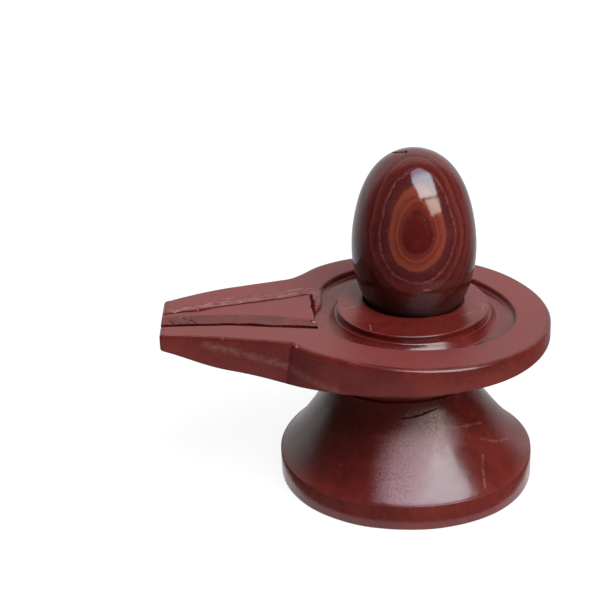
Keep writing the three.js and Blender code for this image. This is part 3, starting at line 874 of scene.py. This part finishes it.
def base_material():
    """Deep red-brown jasper, honed to a pinkish haze, and paler where it is freshly broken."""
    s = Shader("base_stone")
    s.let_lines_wander(0.35, 0.5)
    finish = s.attribute("finish")
    rubbed = s.times(s.veins(RUBBED, 13.0, 0.9), s.spread(finish, -0.3, 0.1, 0.0, 0.55))
    finish = s.math("ADD", finish, s.times(rubbed, s.spread(finish, 0.2, 0.7, 1.0, 0.0)))
    # paler broken stone by the slab's end, partly a painted highlight on the drain wall's foot
    bruised_and_lit = s.times(s.veins(BRUISED_AND_LIT, 2.5, 0.6), s.spread(s.noise(0.8, 4, 0.7), 0.36, 0.56))
    bruised_and_lit = s.times(bruised_and_lit, s.spread(finish, -0.6, 0.2))
    finish = s.math("MAXIMUM", finish, s.times(bruised_and_lit, 1.45))

    clouds = s.ramp(s.noise(0.055, 3, 0.6, 0.8), [
        (0.3, (0.056, 0.0044, 0.0032)), (0.46, (0.078, 0.0063, 0.0045)),
        (0.6, (0.103, 0.01, 0.007)), (0.78, (0.076, 0.0084, 0.006)),
    ])
    grain = s.noise(1.1, 5, 0.7)
    honed = s.mix(s.spread(grain, 0.3, 0.7), (0.133, 0.0215, 0.0172), (0.171, 0.031, 0.0255))
    # painted shade: the cone is painted darker on its left and towards the plate, its shaded side
    cone = s.times(s.spread(s.z, 9.0, 13.0), s.spread(s.z, 40.0, 36.5))
    slant = s.math("MULTIPLY_ADD", s.z, -2.0, s.x)
    painted_side_shade = s.times(cone, s.spread(slant, -40.0, -66.0, 0.12, 0.68))
    grainy = s.spread(s.noise(1.7, 3, 0.6), 0.36, 0.6, 0.4, 1.0)
    grainy = s.times(grainy, s.spread(s.z, 8.7, 9.6))
    sheen_and_scuff = s.times(s.vein(SCUFF_AND_SHEEN, 12.5, 0.85), grainy)
    upper = s.times(s.times(s.vein(UPPER_SCUFF, 9.0, 0.95), 0.75), grainy)
    scuffed = s.math("MAXIMUM", sheen_and_scuff, upper)
    # painted sheen: the scuffed place is painted paler, as the halo of the window's reflection
    sheen_and_scuff = s.times(sheen_and_scuff, s.spread(s.z, 30.0, 23.0, 0.12, 0.75))
    patches = s.spread(s.noise(0.13, 4, 0.65), 0.56, 0.74, 0.0, 0.3)
    breaks = s.noise(0.7, 3, 0.7)
    lines = s.math("MAXIMUM", s.times(s.veins(COLLAR_VEINS, 0.42), 0.7),
                   s.times(s.veins(CONE_VEINS, 0.7), 0.24))
    lines = s.times(lines, s.spread(breaks, 0.38, 0.56))
    wide = s.times(s.vein(SIDE_VEIN, 2.0, 0.95), s.spread(breaks, 0.34, 0.64, 0.1, 0.62))
    fresh = s.times(s.spread(finish, 1.0, 1.9), s.spread(grain, 0.35, 0.6, 0.55, 1.0))
    pits = s.dots(1.3, 0.14)
    # painted shade: the finish below 0 is painted near black and made rougher
    painted_shade = s.spread(finish, -1.0, -0.05, 1.0, 0.0)
    s.give(Base_Color=s.paint(
        clouds,
        (s.spread(grain, 0.42, 0.72, 0.0, 0.2), (0.115, 0.018, 0.013)),
        (s.spread(finish, 0.0, 1.0, 0.0, 0.85), honed),
        (painted_side_shade, (0.026, 0.0026, 0.0018)),
        (sheen_and_scuff, (0.27, 0.14, 0.158)),
        (patches, (0.15, 0.03, 0.024)),
        (lines, (0.3, 0.14, 0.11)),
        (wide, (0.15, 0.062, 0.051)),
        (s.times(s.dots(0.75, 0.15), 0.4), (0.26, 0.12, 0.1)),
        (fresh, (0.25, 0.098, 0.082)),
        (s.times(pits, 0.7), (0.02, 0.004, 0.003)),
        (s.times(painted_shade, 0.92), (0.014, 0.003, 0.0024)),
    ))

    smooth = s.spread(s.noise(0.35, 4, 0.7), 0.35, 0.68, 0.12, 0.21)
    roughness = s.add("Mix", finish, data_type="FLOAT")
    s.feed(roughness.inputs[2], s.math("MULTIPLY_ADD", scuffed, 0.44, smooth))
    s.feed(roughness.inputs[3], s.spread(grain, 0.3, 0.8, 0.46, 0.54))
    height = s.math("MULTIPLY_ADD", scuffed, 0.8, s.spread(finish, 0, 1, 0.3, 1.0))
    height = s.math("SUBTRACT", s.times(grain, height), s.times(pits, 0.8))
    s.give(
        Roughness=s.math("ADD", roughness.outputs[0], s.times(painted_shade, 0.5)),
        IOR=1.54,
        Specular_IOR_Level=0.42,
        Normal=s.bump(height, 0.35, 0.05),
    )
    return s.material


# the bands lie round a nucleus: each is (distance in mm, red, green, blue)
NUCLEUS = (2.84, -16.5, 89.7)
EGG_BANDS = [
    (0.0, 0.052, 0.004, 0.003), (3.2, 0.06, 0.0047, 0.0034), (4.3, 0.042, 0.0043, 0.0034),
    (4.9, 0.092, 0.011, 0.0068), (5.8, 0.098, 0.014, 0.008), (6.3, 0.14, 0.0275, 0.015),
    (6.9, 0.098, 0.0125, 0.007), (7.5, 0.132, 0.0235, 0.0125), (8.6, 0.142, 0.028, 0.0165),
    (9.3, 0.06, 0.009, 0.008), (11.4, 0.051, 0.0075, 0.007), (12.5, 0.056, 0.0068, 0.0056),
    (14.3, 0.078, 0.0105, 0.008), (14.8, 0.105, 0.022, 0.017), (15.4, 0.052, 0.0066, 0.0056),
    (16.6, 0.085, 0.012, 0.0092), (18.5, 0.07, 0.0095, 0.0078), (19.1, 0.095, 0.018, 0.014),
    (19.8, 0.055, 0.0072, 0.0062), (22.5, 0.078, 0.012, 0.0098), (26.0, 0.052, 0.0072, 0.0064),
    (29.0, 0.085, 0.0145, 0.011), (32.0, 0.06, 0.0088, 0.0072),
]
PALE_RING = 11.95
# how much faster or slower the distance grows inwards, upwards and downwards, and with the height
BAND_SHAPE = {"inward": 0.743, "above": 1.775, "below": 1.303, "narrowing": 0.0076}
EGG_FLECK = [(4.9, -17.9, 71.6), (6.9, -17.6, 71.4)]


def egg_material():
    """Polished jasper in bands round the nucleus, with painted shade towards the egg's foot."""
    s = Shader("lingam_stone")
    across, inward, rise = (
        s.math("SUBTRACT", axis, middle) for axis, middle in zip((s.x, s.y, s.z), NUCLEUS))
    above = s.math("MAXIMUM", rise, 0.0)
    below = s.math("MINIMUM", rise, 0.0)
    narrowing = s.math("MULTIPLY_ADD", above, BAND_SHAPE["narrowing"], 1.0)
    above = s.math("DIVIDE", above, BAND_SHAPE["above"])
    below = s.math("DIVIDE", below, BAND_SHAPE["below"])
    away = s.add("CombineXYZ", s.times(across, narrowing), s.times(inward, BAND_SHAPE["inward"]),
                 s.math("ADD", above, below))
    distance = s.vector("LENGTH", away.outputs[0])
    waver = s.math("MULTIPLY_ADD", s.noise(0.1, 3, 0.5), 2.2, -1.1)
    ragged = s.math("MULTIPLY_ADD", s.noise(0.9, 4, 0.65), 0.7, -0.35)
    distance = s.math("ADD", s.math("ADD", distance, waver), ragged)

    reach = EGG_BANDS[-1][0]
    stops = [(place / reach, tone) for place, *tone in EGG_BANDS]
    ring = s.math("ABSOLUTE", s.math("SUBTRACT", distance, PALE_RING))
    ring = s.times(s.spread(ring, 0.12, 0.5, 1.0, 0.0),
                   s.spread(s.noise(0.45, 3, 0.7), 0.38, 0.6, 0.15, 0.85))
    cloud = s.noise(0.16, 4, 0.6)
    thin = s.noise(1.1, 3, 0.7, place=distance, dimensions="1D")
    fades = s.spread(cloud, 0.38, 0.62)
    # painted shade: the outer bands are painted darker towards the egg's foot and its left side
    level = s.math("MULTIPLY_ADD", s.math("SUBTRACT", s.x, EGG_CENTRE[0]), 0.9, s.z)
    painted_foot_shade = s.math("MAXIMUM", s.spread(level, 58.0, 74.0, 0.95, 0.0),
                       s.spread(s.z, 63.0, 84.0, 0.62, 0.0))
    painted_foot_shade = s.times(painted_foot_shade, s.spread(distance, 12.6, 15.5))
    fleck = s.times(s.vein(EGG_FLECK, 0.7), s.spread(s.noise(1.3, 3, 0.8), 0.46, 0.62, 0.0, 0.6))
    fresh = s.spread(s.attribute("finish"), 0.6, 1.8)
    grain = s.noise(1.4, 5, 0.65)
    # painted shade: the notch's finish below 0 is painted near black and made rougher
    painted_shade = s.spread(s.attribute("finish"), -1.0, -0.05, 0.9, 0.0)
    s.give(Base_Color=s.paint(
        s.ramp(s.math("DIVIDE", distance, reach), stops),
        (ring, (0.122, 0.038, 0.032)),
        (s.times(s.spread(thin, 0.52, 0.72, 0.0, 0.45), fades), (0.125, 0.024, 0.017)),
        (s.times(s.spread(thin, 0.46, 0.3, 0.0, 0.4), fades), (0.036, 0.005, 0.0042)),
        (s.spread(cloud, 0.5, 0.75, 0.0, 0.3), (0.105, 0.022, 0.018)),
        (painted_foot_shade, (0.011, 0.002, 0.0016)),
        (s.math("MAXIMUM", s.times(s.dots(0.9, 0.14), 0.5), fleck), (0.3, 0.13, 0.095)),
        (s.times(fresh, s.spread(grain, 0.35, 0.6, 0.4, 0.8)), (0.17, 0.062, 0.048)),
        (painted_shade, (0.01, 0.0025, 0.0022)),
    ))

    dull = s.math("ADD", s.times(fresh, 0.35), s.spread(s.z, 60.0, 71.0, 0.42, 0.0))
    dull = s.math("MULTIPLY_ADD", painted_shade, 0.4, dull)
    s.give(
        Roughness=s.math("ADD", s.spread(grain, 0.3, 0.8, 0.06, 0.13), dull),
        IOR=1.54,
        Specular_IOR_Level=0.44,
        Normal=s.bump(s.math("SUBTRACT", grain, s.dots(1.1, 0.13)), 0.35, 0.045),
    )
    return s.material


def floor_material():
    """A white light table: it glows by itself, so shadows on it stay faint."""
    s = Shader("floor")
    s.give(
        Base_Color=s.mix(s.noise(0.004, 2, 0.5), (0.115, 0.115, 0.115), (0.125, 0.125, 0.125)),
        Roughness=0.8,
        Specular_IOR_Level=0.1,
        Emission_Color=(1, 1, 1, 1),
        Emission_Strength=0.88,
    )
    return s.material


def glow_material(name, tones, strength):
    """Light from a pane, with a colour for its lower edge, its middle and its upper edge."""
    s = Shader(name)
    s.tree.nodes.remove(s.surface)
    rise = s.add("SeparateXYZ", s.add("TexCoord").outputs["Generated"]).outputs["Y"]
    colour = s.ramp(rise, list(zip((0.0, 0.5, 0.95), tones)), "EASE")
    s.feed(s.visible, s.add("Emission", colour, strength).outputs[0])
    return s.material


# -------- studio


CAMERA = {"place": (-0.033859, -0.470627, 0.27476), "pitch": 0.4248, "roll": 0.0369, "lens": 96}
# the window, seen from the stone: degrees to the right and up, and metres away
WINDOW = {"azimuth": 30.0, "elevation": 48.0, "distance": 2.6, "seen_from": (0, 0, 0.07)}
# outlines of its two panes, in distances across and up from its middle
UPPER_PANE = [(-0.3, -0.27), (0.4, -0.33), (0.44, 0.35), (0.2, 0.78), (-0.22, 0.72), (-0.38, 0.3)]
LOWER_PANE = [(0.02, -0.72), (0.52, -0.74), (0.44, -0.385), (-0.16, -0.33)]
# the dark sheet: its radii and height in metres, its thinnest cover, and where its full cover sets in
# and ends, each as (degrees round the foot, over how many degrees)
DARK_SHEET = {"radii": (0.0448, 0.06, 0.1, 0.3, 1.0, 3.9), "height": 0.0015, "thinnest": 0.42,
              "from": (-234, 50), "to": (66, 58)}
FLOOR_REACH = 4.0


def make_camera():
    """The camera stands in front of the foot, a little to the left, and looks down on the stone."""
    data = bpy.data.cameras.new("camera")
    data.lens = CAMERA["lens"]
    camera = new_object("camera", data)
    camera.matrix_world = (
        Matrix.Translation(CAMERA["place"])
        @ Matrix.Rotation(math.pi / 2 - CAMERA["pitch"], 4, "X")
        @ Matrix.Rotation(-CAMERA["roll"], 4, "Z")
    )
    bpy.context.scene.camera = camera


def stage_sheet(name, points, material, faces=None, seen=False):
    """A flat sheet of the studio. One that isn't seen shows in reflections and gives light."""
    mesh = bpy.data.meshes.new(name)
    mesh.from_pydata(points, [], faces or [tuple(range(len(points)))])
    mesh.materials.append(material)
    sheet = new_object(name, mesh)
    sheet.visible_camera = sheet.visible_shadow = seen
    return sheet


def window_pane(name, outline, material):
    """One pane of the window, turned to face the stone."""
    a, e = math.radians(WINDOW["azimuth"]), math.radians(WINDOW["elevation"])
    away = Vector((math.sin(a) * math.cos(e), -math.cos(a) * math.cos(e), math.sin(e)))
    right = Vector((math.cos(a), math.sin(a), 0))
    upward = away.cross(right)
    size = WINDOW["distance"]
    pane = stage_sheet(name, [(x * size, y * size, 0) for x, y in outline], material)
    turn = Matrix((right, upward, right.cross(upward))).transposed()
    middle = Vector(WINDOW["seen_from"]) + away * size
    pane.matrix_world = Matrix.Translation(middle) @ turn.to_4x4()


def make_window():
    """A tall window at the front right: a large bluish pane, and a smaller warm one below its bar."""
    sky = [(0.93, 1.0, 0.98), (0.74, 0.86, 0.97), (0.27, 0.27, 0.42)]
    ground = [(0.9, 0.84, 0.72), (1.0, 0.96, 0.86), (1.0, 1.0, 0.93)]
    window_pane("window", UPPER_PANE, glow_material("sky_light", sky, 11.0))
    window_pane("window_low", LOWER_PANE, glow_material("ground_light", ground, 7.8))


def make_ceiling():
    """A pale ceiling behind and above, whose soft light fills the shadow of the lingam."""
    glow = glow_material("ceiling_light", [(1.0, 1.0, 1.0)] * 3, 1.5)
    corners = [(-2.2, 0.2, 2.2), (0.4, 0.2, 2.2), (0.4, 2.0, 2.2), (-2.2, 2.0, 2.2)]
    sheet = stage_sheet("ceiling", corners, glow)
    sheet.visible_glossy = False


def make_dark_room():
    """A dark sheet on the table round the foot, which only reflections show. It stands for the dark
    room that the polish mirrors, and is thinner behind the stone."""
    s = Shader("dark_room")
    s.give(Base_Color=(0.02, 0.02, 0.022, 1), Roughness=1.0, Specular_IOR_Level=0.0)
    clear = s.add("BsdfTransparent")
    fade = s.add("MixShader", s.attribute("cover"), clear.outputs[0], s.surface.outputs[0])
    s.feed(s.visible, fade.outputs[0])
    radii, height, thinnest = DARK_SHEET["radii"], DARK_SHEET["height"], DARK_SHEET["thinnest"]
    (start, rise), (end, fall) = DARK_SHEET["from"], DARK_SHEET["to"]
    points, cover, faces = [], [], []
    for k, angle in enumerate(range(-270, 91, 3)):
        share = min(1.0, max(0.0, min((angle - start) / rise, (end - angle) / fall)))
        turn = math.radians(angle)
        points += [(radius * math.cos(turn), radius * math.sin(turn), height) for radius in radii]
        cover += [thinnest + (1 - thinnest) * share * share * (3 - 2 * share)] * len(radii)
        if k:
            here, before = k * len(radii), (k - 1) * len(radii)
            faces += [(before + r, before + r + 1, here + r + 1, here + r) for r in range(len(radii) - 1)]
    sheet = stage_sheet("dark_room", points, s.material, faces)
    sheet.data.attributes.new("cover", "FLOAT", "POINT").data.foreach_set("value", cover)
    sheet.visible_diffuse = False


def make_world():
    """White all round the back and overhead, and darker towards the front of the room."""
    world = bpy.data.worlds.new("studio")
    bpy.context.scene.world = world
    world.use_nodes = True
    tree = world.node_tree
    direction = tree.nodes.new("ShaderNodeTexCoord").outputs["Generated"]
    facing = tree.nodes.new("ShaderNodeVectorMath")
    facing.operation = "DOT_PRODUCT"
    facing.inputs[1].default_value = (-0.1, 0.935, 0.34)
    tree.links.new(direction, facing.inputs[0])
    share = tree.nodes.new("ShaderNodeMapRange")
    share.interpolation_type = "SMOOTHSTEP"
    for name, value in (("From Min", 0.38), ("From Max", 0.72), ("To Min", 0.05), ("To Max", 0.72)):
        share.inputs[name].default_value = value
    tree.links.new(facing.outputs["Value"], share.inputs["Value"])
    tree.links.new(share.outputs[0], tree.nodes["Background"].inputs["Strength"])
    tree.nodes["Background"].inputs["Color"].default_value = (1, 1, 1, 1)


def make_floor():
    """The table, with its top at the foot's sole."""
    corners = [(x * FLOOR_REACH, y * FLOOR_REACH, 0) for x, y in ((-1, -1), (1, -1), (1, 1), (-1, 1))]
    stage_sheet("floor", corners, floor_material(), seen=True)


# -------- the scene

make_camera()
make_world()
make_floor()
make_window()
make_ceiling()
make_dark_room()
bpy.context.scene.view_settings.view_transform = "Standard"

for piece, material, node, slot in (
    (yoni_base(), base_material(), "yoni_base", "base_stone"),
    (lingam(), egg_material(), "lingam", "lingam_stone"),
):
    piece.data.materials.clear()
    piece.data.materials.append(material)
    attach(piece, "root")
    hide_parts(node)
